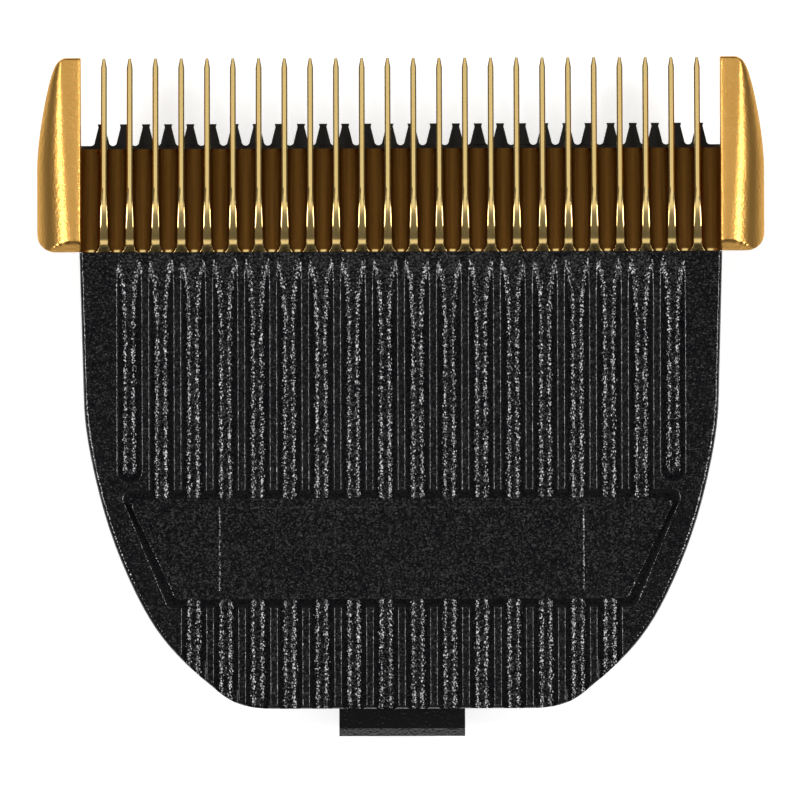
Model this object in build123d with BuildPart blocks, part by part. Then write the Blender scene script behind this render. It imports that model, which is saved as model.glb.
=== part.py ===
from build123d import *
import math
import os

# Blade head of a hair clipper, lying front side up with its back rim on Z = 0.
# X runs along the row of teeth, Y towards the tooth tips and Z out of the front face.
# Sizes are in millimetres.

# Lengths along Y that add up to the whole head
tooth_reach = 12.33          # comb teeth beyond the front edge of the holder
holder_length = 28.85        # front edge to tail of the holder
hook_reach = 1.88            # mounting hook beyond the tail
head_length = tooth_reach + holder_length + hook_reach
tip_y = head_length / 2
edge_y = tip_y - tooth_reach
tail_y = edge_y - holder_length
hook_y = -head_length / 2

# Heights along Z
skirt_height = 10.4          # back rim to the back of the front plate
plate_thickness = 2.4
flange_thickness = 0.9       # comb flange, seated on the back of the plate
blade_gap = 0.02             # running gap between the comb and the moving blade
moving_blade_thickness = 0.7
yoke_height = 5.6
plate_back = skirt_height
plate_front = plate_back + plate_thickness
cutting_plane = plate_back - flange_thickness
moving_blade_top = cutting_plane - blade_gap
yoke_top = moving_blade_top - moving_blade_thickness
yoke_bottom = yoke_top - yoke_height

# Clearances
part_gap = 0.05              # between pieces that lie side by side
slide_gap = 0.1              # around the guide rail
turn_gap = 0.06              # around the pivot pins
hole_gap = 0.02              # around screws and rivets

# Outline of the holder: half width at the front edge, then the side's draw-in at heights above the tail
edge_half_width = 20.31
side_draw = [
    (0.25, 19.49), (1.01, 14.43), (2.56, 9.37), (5.35, 4.31), (7.85, 1.68), (10.15, 0.42), (12.3, 0.0),
]
tail_tangent = (-1.0, 0.0)
rim_round = 0.25

# Ribbed front face
groove_pitch = 2.02
groove_width = 1.54
groove_depth = 0.39
upper_groove_count = 18
lower_groove_count = 14
end_groove_stop = 0.47       # closed ends of the outer grooves, in front of the panel
groove_ramp = 2.6            # groove floors rise to the surface towards the comb
edge_round = 0.15            # along the edges of grooves and panel
round_steps = 4

# Recessed panel
panel_lift = 6.39            # lower edge above the tail
panel_height = 7.44
panel_top_half = 17.86
panel_bottom_half = 14.8
panel_wall = 0.55            # run of the sloped wall
panel_corner = 0.5
plaque_half_width = 11.55    # raised bare plate in the panel
plaque_height = 5.3
plaque_step = 0.02
plaque_slope = 13.0          # degrees, of its faint border

# Skirt and hook
skirt_inset = 1.2            # skirt behind the outline and behind the front edge
skirt_wall = 1.5
skirt_mouth = 4.5            # depth of the opening towards the comb, behind the front edge
hook_half_width = 4.0
hook_thickness = 3.5
hook_height = 3.0            # underside above the rim
hook_bevel = 0.5
latch_length = 4.0
latch_height = 1.6
latch_reach = 0.3            # beyond the skirt
latch_slope = 0.6            # height of its sloped underside
latch_lift = 4.0             # above the rim
latch_setback = 6.0          # behind the front edge

# Comb
tooth_count = 24
tooth_pitch = 1.633
tooth_width = 0.38           # at the back, where the teeth cut
tooth_draft = 2.0            # degrees, narrows the teeth towards their front
tooth_point = 0.16           # width left at the tip
tooth_point_length = 0.6
tip_thickness = 0.2
comb_shoulder_height = 2.05  # front of the comb at its bend, above the cutting plane
comb_shoulder_reach = 3.04   # bend in front of the holder's edge
comb_root_height = 2.1
comb_root_reach = 0.7
comb_foot_height = 1.9       # front of the comb where it meets the holder
slot_floor_reach = 6.59      # slot floor meets the cutting plane, in front of the holder's edge
slot_floor_height = 1.76     # slot floor at the holder's edge
slot_flare_reach = 3.0       # teeth start to widen
slot_bend_reach = 0.58       # feet of the teeth start to spread
slot_bend_width = 1.0
slot_root_width = 0.68
flange_length = 6.2
flange_half_width = 16.8
flange_step = 0.8            # full-width strip of the flange
tab_width = 1.4              # comb's end tabs under the guards
tab_length = 8.6
slot_count = tooth_count + 1
slot_width = tooth_pitch - tooth_width
guard_inner = (tooth_count * tooth_pitch + slot_width) / 2
comb_y = edge_y + part_gap

# End guards
guard_width = 2.77
guard_height = 3.3           # at the holder end, above the cutting plane
guard_tip_height = 2.2
guard_flat = 0.75            # flat strip along the comb, at the holder end
guard_flat_growth = 0.62     # wider towards the nose
guard_crown_least = 0.22     # rounded strip left at the nose
guard_crown_slope = 0.6      # fall of the rounded strip, of its width
guard_foot_round = 1.1
guard_foot_bevel = 0.7
guard_nose = [(0.0, 7.0), (0.3, 3.97), (0.81, 1.44), (1.45, 0.0)]

# Moving blade
moving_tooth_count = 28
moving_tooth_pitch = 1.402
moving_tooth_width = 0.54
moving_tooth_neck = 0.44
moving_tooth_neck_depth = 0.2
moving_notch_depth = 1.37
moving_notch_floor = 0.5
moving_end_margin = 1.3      # last tooth's centre to the end of the blade
moving_reach = 8.17          # tooth tops in front of the holder's edge
moving_wide_length = 8.77    # tooth tops to the back of the wide part
moving_tang_half_width = 14.0
moving_tang_length = 4.4
moving_half_width = (moving_tooth_count - 1) * moving_tooth_pitch / 2 + moving_end_margin
moving_end_cut = 2 * moving_end_margin - moving_tooth_pitch
moving_top_y = edge_y + moving_reach
moving_wide_y = moving_top_y - moving_wide_length

# Fasteners: countersunk head, then a plain shank
comb_screw_count = 3
comb_screw_spacing = 12.0
comb_screw_setback = 3.2     # behind the holder's edge
comb_screw_head = 1.1
comb_screw_shank = 0.6
comb_screw_head_depth = 0.5
comb_screw_length = 2.0
comb_screw_end_gap = 0.1     # beyond the screw's end in its hole
rivet_spacing = 8.0
rivet_setback = 1.7
rivet_head = 0.9
rivet_shank = 0.5
rivet_head_depth = 0.4
rivet_length = 2.5
peg_radius = 0.4             # pegs of the guards, through the comb's tabs
peg_spacing = 5.0

# Drive yoke, guide rail and rocker
yoke_half_width = 6.5
yoke_length = 15.0
yoke_setback = 0.1           # front face behind the wide part of the moving blade
yoke_bevel = 0.4
drive_slot_width = 4.4
drive_slot_length = 7.5
drive_slot_depth = 4.8
drive_slot_setback = 6.0     # front end behind the yoke's front face
drive_slot_corner = 0.3
rail_size = 2.0
rail_setback = 3.7           # behind the holder's edge
pivot_setback = 10.7
pivot_drop = 4.1             # below the back of the plate
pin_radius = 1.4
pin_head_radius = 2.0
pin_head_length = 0.6
arm_inner = 9.0
arm_thickness = 1.5
arm_radius = 2.2             # around the pivot pin and the guide rail
lever_tail_reach = 9.5       # tail of the cleaning lever behind the pivot
lever_tail_radius = 1.2
thumb_pad_width = 4.2
thumb_pad_length = 2.8
thumb_pad_thickness = 1.7
boss_length = 2.6            # pin bosses stand this far in from the skirt
boss_radius = 2.4

# Torsion springs
spring_wire = 0.6
spring_pitch = 0.85
spring_turns = 3
spring_start = 0.5           # first turn outside the rocker arm
spring_arm_leg = 4.7         # along Y, to the bend under the arm
spring_tail_leg = 6.5
spring_hook_length = 1.6
spring_rib_length = 1.2
spring_rib_width = 1.8

pivot_y = edge_y - pivot_setback
pivot_z = plate_back - pivot_drop
rail_y = edge_y - rail_setback
arm_outer = arm_inner + arm_thickness
yoke_front = moving_wide_y - yoke_setback
guard_outer = guard_inner + guard_width
tab_outer = guard_inner + tab_width
pin_end = edge_half_width - skirt_inset - skirt_wall
boss_inner = pin_end - boss_length
spring_radius = arm_radius + spring_wire / 2 + hole_gap
spring_inner = arm_outer + spring_start
spring_length = spring_turns * spring_pitch


def countersunk_profile(head, shank, head_depth, length, gap=0.0):
    """Half section of a countersunk fastener, from its flat head at the origin along its shank."""
    return [
        (0, 0),
        (head + gap, 0),
        (shank + gap, head_depth),
        (shank + gap, length + gap),
        (0, length + gap),
    ]


def draw_outline(inset):
    """Outline of the holder, drawn in by a distance along its normals."""
    points = [(edge_half_width - draw, tail_y + lift) for draw, lift in side_draw]
    slope = Vector(*points[0]) - Vector(edge_half_width, edge_y)
    side = Spline(*points, tangents=[slope, tail_tangent], mode=Mode.PRIVATE)
    steps = [step / (len(points) - 1) for step in range(len(points))]
    drawn_in = [side @ step + inset * Vector((side % step).Y, -(side % step).X) for step in steps]
    Polyline((0, edge_y - inset), (edge_half_width - inset, edge_y - inset), drawn_in[0])
    Spline(*drawn_in, tangents=[slope, tail_tangent])
    Line(drawn_in[-1], (0, drawn_in[-1].Y))
    mirror(about=Plane.YZ)


with BuildSketch() as holder_outline:
    with BuildLine():
        draw_outline(0)
    make_face()

# Skirt behind it, open towards the comb
with BuildSketch() as skirt_outline:
    with BuildLine():
        draw_outline(skirt_inset)
    make_face()
    with BuildLine():
        draw_outline(skirt_inset + skirt_wall)
    make_face(mode=Mode.SUBTRACT)
    with Locations((0, edge_y)):
        Rectangle(2 * pin_end, skirt_mouth, align=(Align.CENTER, Align.MAX), mode=Mode.SUBTRACT)


def rounded_wall(start, end, depth):
    """Points down a sloped wall from the surface, with both of its edges rounded in equal steps."""
    slope = math.atan2(depth, abs(end - start))
    tangent = edge_round * math.tan(slope / 2)
    turns = [slope * step / round_steps for step in range(round_steps + 1)]
    side = math.copysign(1, end - start)
    upper = [
        (start + side * (edge_round * math.sin(turn) - tangent), -edge_round * (1 - math.cos(turn)))
        for turn in turns
    ]
    lower = [(start + end - along, -depth - height) for along, height in reversed(upper)]
    return upper + lower


# Grooves are round troughs between lands with rounded edges
groove_radius = (groove_width ** 2 / 4 + groove_depth ** 2) / (2 * groove_depth)
groove_centre = groove_radius - groove_depth
land_x = math.sqrt((groove_radius + edge_round) ** 2 - (groove_centre + edge_round) ** 2)
land_turn = math.asin(land_x / (groove_radius + edge_round))

with BuildSketch() as groove_section:
    with BuildLine():
        edge = [
            (land_x - edge_round * math.sin(turn), edge_round * (math.cos(turn) - 1))
            for turn in (0, land_turn / 2, land_turn)
        ]
        ThreePointArc(*edge)
        ThreePointArc(edge[2], (0, -groove_depth), (-edge[2][0], edge[2][1]))
        ThreePointArc(*[(-across, height) for across, height in edge])
        Line(edge[0], (-edge[0][0], 0))
    make_face()

panel_bottom_y = tail_y + panel_lift
panel_top_y = panel_bottom_y + panel_height
end_groove_x = (upper_groove_count - 1) * groove_pitch / 2
end_groove_y = panel_top_y + end_groove_stop + groove_width / 2


def panel_outline(inset):
    """Corners of the panel's trapezoid, drawn in by a distance."""
    top = (panel_top_half - inset, panel_top_y - inset)
    bottom = (panel_bottom_half - inset, panel_bottom_y + inset)
    return [top, bottom, (-bottom[0], bottom[1]), (-top[0], top[1])]


# Upper grooves: open into the panel, apart from the outer two, and rise to the surface at the front edge
ramp_plane = Plane(
    origin=(0, edge_y, plate_front),
    x_dir=(1, 0, 0),
    z_dir=(0, -groove_depth, groove_ramp),
)
with BuildPart() as upper_grooves:
    with BuildSketch(Plane((0, edge_y, plate_front), x_dir=(1, 0, 0), z_dir=(0, -1, 0))):
        with GridLocations(groove_pitch, 0, upper_groove_count - 2, 1):
            add(groove_section.sketch)
    extrude(amount=edge_y - panel_top_y + panel_height / 2)
    with BuildSketch(Plane((0, edge_y, plate_front), x_dir=(1, 0, 0), z_dir=(0, -1, 0))):
        with GridLocations(2 * end_groove_x, 0, 2, 1):
            add(groove_section.sketch)
    extrude(amount=edge_y - end_groove_y)
    for side in (-1, 1):
        with BuildSketch(Plane((side * end_groove_x, end_groove_y, plate_front), (1, 0, 0), (0, -1, 0))):
            add(groove_section.sketch)
            split(bisect_by=Plane.YZ, keep=Keep.TOP)
        revolve(axis=Axis((side * end_groove_x, end_groove_y, 0), (0, 0, 1)))
    split(bisect_by=ramp_plane, keep=Keep.TOP)

# Holder: ribbed front plate, skirt behind it and the mounting hook
with BuildPart() as blade_holder:
    with BuildSketch(Plane.XY.offset(plate_back)):
        add(holder_outline.sketch)
    extrude(amount=plate_thickness)
    with BuildSketch():
        add(skirt_outline.sketch)
    extrude(amount=plate_back)
    with BuildSketch(Plane.YZ.offset(-hook_half_width)):
        with BuildLine():
            Polyline(
                (tail_y + skirt_inset + skirt_wall / 2, hook_height),
                (hook_y + hook_bevel, hook_height),
                (hook_y, hook_height + hook_bevel),
                (hook_y, hook_height + hook_thickness - hook_bevel),
                (hook_y + hook_bevel, hook_height + hook_thickness),
                (tail_y + skirt_inset + skirt_wall / 2, hook_height + hook_thickness),
                close=True,
            )
        make_face()
    extrude(amount=2 * hook_half_width)
    for side in (-1, 1):
        with BuildSketch(Plane.XZ.offset(latch_length / 2 + latch_setback - edge_y)):
            with BuildLine():
                latch_inner = side * (edge_half_width - skirt_inset - skirt_wall / 2)
                latch_outer = side * (edge_half_width - skirt_inset + latch_reach)
                Polyline(
                    (latch_inner, latch_lift),
                    (latch_outer, latch_lift + latch_slope),
                    (latch_outer, latch_lift + latch_height),
                    (latch_inner, latch_lift + latch_height),
                    close=True,
                )
            make_face()
        extrude(amount=-latch_length)
        with BuildSketch(Plane.YZ.offset(side * boss_inner)):
            with Locations((pivot_y, pivot_z)):
                Circle(boss_radius)
                Rectangle(2 * boss_radius, pivot_drop, align=(Align.CENTER, Align.MIN))
        extrude(amount=side * (boss_length + skirt_wall / 2))
        with BuildSketch(Plane.YZ.offset(side * boss_inner)):
            with Locations((pivot_y, pivot_z)):
                Circle(pin_radius + hole_gap)
        extrude(amount=side * (boss_length + part_gap), mode=Mode.SUBTRACT)
        with BuildSketch(Plane.XY.offset(pivot_z - arm_radius)):
            with Locations((side * (spring_inner + spring_length), pivot_y - spring_tail_leg)):
                Rectangle(spring_rib_width, spring_rib_length, align=(Align.CENTER, Align.MIN))
        extrude(amount=plate_back - pivot_z + arm_radius)
    with BuildSketch(Plane.XY.offset(plate_back)):
        with Locations((0, edge_y - comb_screw_setback)):
            with GridLocations(comb_screw_spacing, 0, comb_screw_count, 1):
                Circle(comb_screw_shank + hole_gap)
    extrude(amount=comb_screw_length - flange_thickness + comb_screw_end_gap, mode=Mode.SUBTRACT)
    fillet(blade_holder.faces().sort_by(Axis.Z)[-1].edges().sort_by(Axis.Y)[:-1], rim_round)
    add(upper_grooves.part, mode=Mode.SUBTRACT)
    with BuildSketch(Plane((0, panel_bottom_y + panel_height / 2, plate_front), (1, 0, 0), (0, -1, 0))):
        with GridLocations(groove_pitch, 0, lower_groove_count, 1):
            add(groove_section.sketch)
    extrude(amount=holder_length, mode=Mode.SUBTRACT)
    for inset, height in rounded_wall(0, panel_wall, groove_depth):
        with BuildSketch(Plane.XY.offset(plate_front + height)) as panel_level:
            Polygon(*panel_outline(inset), align=None)
            fillet(panel_level.vertices(), panel_corner)
    loft(ruled=True, mode=Mode.SUBTRACT)
    with BuildSketch(Plane((0, panel_bottom_y + panel_height / 2, plate_front - groove_depth))):
        Rectangle(2 * plaque_half_width, plaque_height)
    extrude(amount=plaque_step, taper=90 - plaque_slope)

blade_holder.part.label = "blade_holder"

# Comb slots: tapered cutters that stand on a sloping floor
slot_floor = Plane(
    origin=(0, edge_y + slot_floor_reach, cutting_plane),
    x_dir=(1, 0, 0),
    z_dir=(0, slot_floor_height, slot_floor_reach),
)
with BuildPart() as comb_slots:
    with BuildSketch() as slot_plan:
        with BuildLine():
            point_half = (tooth_pitch - tooth_point) / 2
            bend = (slot_bend_width / 2, edge_y + slot_bend_reach)
            Polyline((0, edge_y), (slot_root_width / 2, edge_y), (slot_root_width / 2, comb_y))
            TangentArc(bend, (slot_root_width / 2, comb_y), tangent=(0, -1))
            Polyline(
                bend,
                (slot_width / 2, edge_y + slot_flare_reach),
                (slot_width / 2, tip_y - tooth_point_length),
                (point_half, tip_y),
                (point_half, tip_y + part_gap),
                (0, tip_y + part_gap),
            )
            mirror(about=Plane.YZ)
        make_face()
    with BuildSketch(Plane.XY.offset(cutting_plane)):
        with GridLocations(tooth_pitch, 0, slot_count, 1):
            add(slot_plan.sketch)
    extrude(amount=comb_root_height + part_gap, taper=-tooth_draft)
    split(bisect_by=slot_floor, keep=Keep.TOP)

comb_screw_y = edge_y - comb_screw_setback
comb_screw_places = [
    (column - (comb_screw_count - 1) / 2) * comb_screw_spacing for column in range(comb_screw_count)
]
comb_screw_sizes = (comb_screw_head, comb_screw_shank, comb_screw_head_depth, comb_screw_length)

# Comb: toothed front, flange behind it and a tab at each end
with BuildPart() as fixed_comb:
    with BuildSketch(Plane.YZ):
        with BuildLine():
            Polyline(
                (comb_y, cutting_plane),
                (tip_y, cutting_plane),
                (tip_y, cutting_plane + tip_thickness),
                (edge_y + comb_shoulder_reach, cutting_plane + comb_shoulder_height),
                (edge_y + comb_root_reach, cutting_plane + comb_root_height),
                (comb_y, cutting_plane + comb_foot_height),
                close=True,
            )
        make_face()
    extrude(amount=guard_inner, both=True)
    add(comb_slots.part, mode=Mode.SUBTRACT)
    with BuildSketch(Plane.XY.offset(cutting_plane)):
        with Locations((0, comb_y)):
            Rectangle(2 * flange_half_width, flange_length, align=(Align.CENTER, Align.MAX))
            Rectangle(2 * guard_inner, flange_step, align=(Align.CENTER, Align.MAX))
            Rectangle(2 * tab_outer, tab_length, align=(Align.CENTER, Align.MIN))
            Rectangle(2 * guard_inner, tab_length, align=(Align.CENTER, Align.MIN), mode=Mode.SUBTRACT)
    extrude(amount=flange_thickness)
    for screw_x in comb_screw_places:
        with BuildSketch(Plane((screw_x, comb_screw_y, cutting_plane), (1, 0, 0), (0, -1, 0))):
            Polygon(*countersunk_profile(*comb_screw_sizes, hole_gap), align=None)
        revolve(axis=Axis((screw_x, comb_screw_y, 0), (0, 0, 1)), mode=Mode.SUBTRACT)
    with BuildSketch(Plane.XY.offset(cutting_plane)):
        with Locations((0, comb_y + tab_length / 2)):
            with GridLocations(guard_inner + tab_outer, peg_spacing, 2, 2):
                Circle(peg_radius + hole_gap)
    extrude(amount=flange_thickness, mode=Mode.SUBTRACT)

fixed_comb.part.label = "fixed_comb"

# Screws that hold the comb's flange to the holder
with BuildPart() as comb_screws:
    for screw_x in comb_screw_places:
        with BuildSketch(Plane((screw_x, comb_screw_y, cutting_plane), (1, 0, 0), (0, -1, 0))):
            Polygon(*countersunk_profile(*comb_screw_sizes), align=None)
        revolve(axis=Axis((screw_x, comb_screw_y, 0), (0, 0, 1)))

comb_screws.part.label = "comb_screws"

# Right guard: a flat strip along the comb that rounds over to the outside and narrows to its nose
with BuildPart() as right_end_guard:
    for draw, back in [(0.0, tip_y - comb_y)] + guard_nose:
        rise = guard_tip_height + (guard_height - guard_tip_height) * back / (tip_y - comb_y)
        top = cutting_plane + rise
        outer = guard_outer - draw
        flat = guard_flat + guard_flat_growth * (1 - back / (tip_y - comb_y))
        flat_end = min(guard_inner + flat, outer - guard_crown_least)
        shoulder = top - guard_crown_slope * (outer - flat_end)
        with BuildSketch(Plane((0, tip_y - back, 0), x_dir=(1, 0, 0), z_dir=(0, -1, 0))):
            with BuildLine():
                Polyline(
                    (flat_end, top),
                    (guard_inner, top),
                    (guard_inner, cutting_plane),
                    (outer, cutting_plane),
                    (outer, shoulder),
                )
                Bezier((outer, shoulder), ((outer + flat_end) / 2, top), (flat_end, top))
            make_face()
    loft()
    with BuildSketch(Plane.XY.offset(cutting_plane)) as guard_plan:
        with Locations((guard_outer, comb_y)):
            Rectangle(guard_width, tip_y - comb_y, align=(Align.MAX, Align.MIN))
        foot_corner = guard_plan.vertices().sort_by(Axis.X)[-2:].sort_by(Axis.Y)[0]
        fillet(foot_corner, guard_foot_round)
    extrude(amount=guard_height + part_gap, mode=Mode.INTERSECT)
    with BuildSketch(Plane.YZ):
        with BuildLine():
            foot_top = cutting_plane + guard_height
            Polyline(
                (comb_y - part_gap, foot_top - guard_foot_bevel - part_gap),
                (comb_y + guard_foot_bevel + part_gap, foot_top + part_gap),
                (comb_y - part_gap, foot_top + part_gap),
                close=True,
            )
        make_face()
    extrude(amount=guard_outer, mode=Mode.SUBTRACT)
    with BuildSketch(Plane.XY.offset(cutting_plane)):
        with Locations((guard_inner, comb_y)):
            Rectangle(tab_width + part_gap, tab_length + part_gap, align=(Align.MIN, Align.MIN))
    extrude(amount=flange_thickness, mode=Mode.SUBTRACT)
    with BuildSketch(Plane.XY.offset(cutting_plane)):
        with Locations(((guard_inner + tab_outer) / 2, comb_y + tab_length / 2)):
            with GridLocations(0, peg_spacing, 1, 2):
                Circle(peg_radius)
    extrude(amount=flange_thickness + part_gap)

right_end_guard.part.label = "right_end_guard"

with BuildPart() as left_end_guard:
    mirror(right_end_guard.part, about=Plane.YZ)

left_end_guard.part.label = "left_end_guard"

# Moving blade: flat toothed strip with a narrower tang
with BuildSketch() as moving_notch:
    with BuildLine():
        mouth_half = (moving_tooth_pitch - moving_tooth_width) / 2
        neck_half = (moving_tooth_pitch - moving_tooth_neck) / 2
        floor_half = moving_notch_floor / 2
        Polyline(
            (0, part_gap),
            (mouth_half, part_gap),
            (mouth_half, 0),
            (neck_half, -moving_tooth_neck_depth),
            (floor_half, floor_half - moving_notch_depth),
        )
        mirror(about=Plane.YZ)
        ThreePointArc(
            (floor_half, floor_half - moving_notch_depth),
            (0, -moving_notch_depth),
            (-floor_half, floor_half - moving_notch_depth),
        )
    make_face()

rivet_y = moving_wide_y - rivet_setback + part_gap
rivet_places = [(-rivet_spacing / 2, rivet_y), (rivet_spacing / 2, rivet_y)]
rivet_sizes = (rivet_head, rivet_shank, rivet_head_depth, rivet_length)

with BuildPart() as moving_blade:
    with BuildSketch(Plane.XY.offset(yoke_top)):
        with Locations((0, moving_top_y)):
            Rectangle(2 * moving_half_width, moving_wide_length, align=(Align.CENTER, Align.MAX))
            with GridLocations(moving_tooth_pitch, 0, moving_tooth_count + 1, 1):
                add(moving_notch.sketch, mode=Mode.SUBTRACT)
            with GridLocations(2 * moving_half_width, 0, 2, 1):
                Rectangle(moving_end_cut, 2 * moving_notch_depth, mode=Mode.SUBTRACT)
        with Locations((0, moving_wide_y)):
            Rectangle(2 * moving_tang_half_width, moving_tang_length, align=(Align.CENTER, Align.MAX))
    extrude(amount=moving_blade_thickness)
    for rivet_x, place_y in rivet_places:
        with BuildSketch(Plane((rivet_x, place_y, moving_blade_top), (1, 0, 0), (0, 1, 0))):
            Polygon(*countersunk_profile(*rivet_sizes, hole_gap), align=None)
        revolve(axis=Axis((rivet_x, place_y, 0), (0, 0, 1)), mode=Mode.SUBTRACT)

moving_blade.part.label = "moving_blade"

# Rivets between the moving blade and the yoke
with BuildPart() as yoke_rivets:
    for rivet_x, place_y in rivet_places:
        with BuildSketch(Plane((rivet_x, place_y, moving_blade_top), (1, 0, 0), (0, 1, 0))):
            Polygon(*countersunk_profile(*rivet_sizes), align=None)
        revolve(axis=Axis((rivet_x, place_y, 0), (0, 0, 1)))

yoke_rivets.part.label = "yoke_rivets"

# Drive yoke: block with the slot for the drive pin and the tunnel for the guide rail
with BuildPart() as drive_yoke:
    with BuildSketch(Plane.XY.offset(yoke_bottom)):
        with Locations((0, yoke_front)):
            Rectangle(2 * yoke_half_width, yoke_length, align=(Align.CENTER, Align.MAX))
    extrude(amount=yoke_height)
    chamfer(drive_yoke.faces().sort_by(Axis.Z)[0].edges(), yoke_bevel)
    with BuildSketch(Plane.XY.offset(yoke_bottom)) as drive_slot_plan:
        with Locations((0, yoke_front - drive_slot_setback)):
            Rectangle(drive_slot_width, drive_slot_length, align=(Align.CENTER, Align.MAX))
        fillet(drive_slot_plan.vertices(), drive_slot_corner)
    extrude(amount=drive_slot_depth, mode=Mode.SUBTRACT)
    with BuildSketch(Plane.YZ):
        with Locations((rail_y, pivot_z)):
            Rectangle(rail_size + 2 * slide_gap, rail_size + 2 * slide_gap)
    extrude(amount=yoke_half_width, both=True, mode=Mode.SUBTRACT)
    for rivet_x, place_y in rivet_places:
        with BuildSketch(Plane((rivet_x, place_y, moving_blade_top), (1, 0, 0), (0, 1, 0))):
            Polygon(*countersunk_profile(*rivet_sizes, hole_gap), align=None)
        revolve(axis=Axis((rivet_x, place_y, 0), (0, 0, 1)), mode=Mode.SUBTRACT)

drive_yoke.part.label = "drive_yoke"

# Guide rail: square bar held by both rocker arms
with BuildPart() as guide_rail:
    with BuildSketch(Plane.YZ):
        with Locations((rail_y, pivot_z)):
            Rectangle(rail_size, rail_size)
    extrude(amount=arm_outer, both=True)

guide_rail.part.label = "guide_rail"

# Side view of a rocker arm, from the pivot to the guide rail
with BuildSketch() as arm_side:
    with Locations(((pivot_y + rail_y) / 2, pivot_z)):
        SlotCenterToCenter(rail_y - pivot_y, 2 * arm_radius)

with BuildSketch() as arm_holes:
    with Locations((pivot_y, pivot_z)):
        Circle(pin_radius + turn_gap)
    with Locations((rail_y, pivot_z)):
        Rectangle(rail_size + 2 * hole_gap, rail_size + 2 * hole_gap)

with BuildPart() as rocker_arm:
    with BuildSketch(Plane.YZ.offset(arm_inner)):
        add(arm_side.sketch)
        add(arm_holes.sketch, mode=Mode.SUBTRACT)
    extrude(amount=arm_thickness)

rocker_arm.part.label = "rocker_arm"

# Cleaning lever: left rocker arm with a tail and a thumb pad
tail_end_y = pivot_y - lever_tail_reach
with BuildPart() as cleaning_lever:
    with BuildSketch(Plane.YZ.offset(-arm_inner)):
        add(arm_side.sketch)
        with Locations(((pivot_y + tail_end_y) / 2, pivot_z)):
            SlotCenterToCenter(lever_tail_reach, 2 * lever_tail_radius)
        add(arm_holes.sketch, mode=Mode.SUBTRACT)
    extrude(amount=-arm_thickness)
    with BuildSketch(Plane.XY.offset(pivot_z - lever_tail_radius)):
        with Locations((-arm_outer + arm_thickness / 2, tail_end_y)):
            RectangleRounded(thumb_pad_width, thumb_pad_length, lever_tail_radius / 2)
    extrude(amount=thumb_pad_thickness)

cleaning_lever.part.label = "cleaning_lever"

# Pivot pins: headed pins pressed into the bosses of the holder
with BuildPart() as right_pivot_pin:
    with BuildSketch(Plane.YZ.offset(arm_inner - slide_gap)):
        with Locations((pivot_y, pivot_z)):
            Circle(pin_radius)
    extrude(amount=pin_end - arm_inner + slide_gap)
    with BuildSketch(Plane.YZ.offset(arm_inner - slide_gap)):
        with Locations((pivot_y, pivot_z)):
            Circle(pin_head_radius)
    extrude(amount=-pin_head_length)

right_pivot_pin.part.label = "right_pivot_pin"

with BuildPart() as left_pivot_pin:
    mirror(right_pivot_pin.part, about=Plane.YZ)

left_pivot_pin.part.label = "left_pivot_pin"

# Torsion springs: one leg hooks under the rocker arm, the other bears on the holder's rib
with BuildPart() as left_torsion_spring:
    with BuildLine() as spring_line:
        coil_centre = (-spring_inner, pivot_y, pivot_z)
        coil = Helix(spring_pitch, spring_length, spring_radius, center=coil_centre, direction=(-1, 0, 0))
        bend = coil @ 0 - spring_arm_leg * (coil % 0)
        FilletPolyline(bend + Vector(spring_hook_length, 0, 0), bend, coil @ 0, radius=spring_wire)
        Line(coil @ 1, coil @ 1 + spring_tail_leg * (coil % 1))
    spring_path = spring_line.wire()
    with BuildSketch(Plane(spring_path @ 0, z_dir=spring_path % 0)):
        Circle(spring_wire / 2)
    sweep(path=spring_path)

left_torsion_spring.part.label = "left_torsion_spring"

with BuildPart() as right_torsion_spring:
    mirror(left_torsion_spring.part, about=Plane.YZ)

right_torsion_spring.part.label = "right_torsion_spring"

pieces = (
    blade_holder, fixed_comb, comb_screws, left_end_guard, right_end_guard,
    moving_blade, yoke_rivets, drive_yoke, guide_rail, rocker_arm, cleaning_lever,
    left_pivot_pin, right_pivot_pin, left_torsion_spring, right_torsion_spring,
)
os.makedirs("parts", exist_ok=True)
for piece in pieces:
    export_step(piece.part, f"parts/{piece.part.label}.step")
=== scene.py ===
# %% [markdown]
# # Blade head of a hair clipper
# A black holder carries a gold comb between two gold end guards. Behind the comb a black
# blade slides from side to side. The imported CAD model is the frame: every piece made here
# sits in the same place, in metres, with the front face up and the teeth towards +Y.

# %% Load the frame
import math
import bpy
import numpy as np
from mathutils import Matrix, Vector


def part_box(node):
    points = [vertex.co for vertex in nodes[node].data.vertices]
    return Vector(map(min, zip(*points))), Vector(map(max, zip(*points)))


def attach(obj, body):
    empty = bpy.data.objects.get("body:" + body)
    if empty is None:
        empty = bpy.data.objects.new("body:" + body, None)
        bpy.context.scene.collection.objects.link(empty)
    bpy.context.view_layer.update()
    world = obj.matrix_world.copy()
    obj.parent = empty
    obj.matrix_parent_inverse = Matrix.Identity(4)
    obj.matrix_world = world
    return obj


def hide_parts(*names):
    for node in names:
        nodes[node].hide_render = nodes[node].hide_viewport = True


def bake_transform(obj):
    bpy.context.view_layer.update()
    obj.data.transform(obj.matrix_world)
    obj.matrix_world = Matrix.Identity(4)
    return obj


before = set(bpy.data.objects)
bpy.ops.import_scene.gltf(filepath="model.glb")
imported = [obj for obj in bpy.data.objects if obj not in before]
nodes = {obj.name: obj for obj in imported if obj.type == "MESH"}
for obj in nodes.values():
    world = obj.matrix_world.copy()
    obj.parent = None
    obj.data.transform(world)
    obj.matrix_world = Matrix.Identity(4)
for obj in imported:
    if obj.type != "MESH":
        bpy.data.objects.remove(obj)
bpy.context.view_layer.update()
MM = 0.001

# %% [markdown]
# ## Finishes
# A finish is a small graph of shader nodes. Each one starts from the object's own coordinates,
# in metres, so that the grain keeps its real size whatever piece it is put on.
# `shade` adds one node and fills its sockets with plain values or with the outputs of other nodes.

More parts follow.
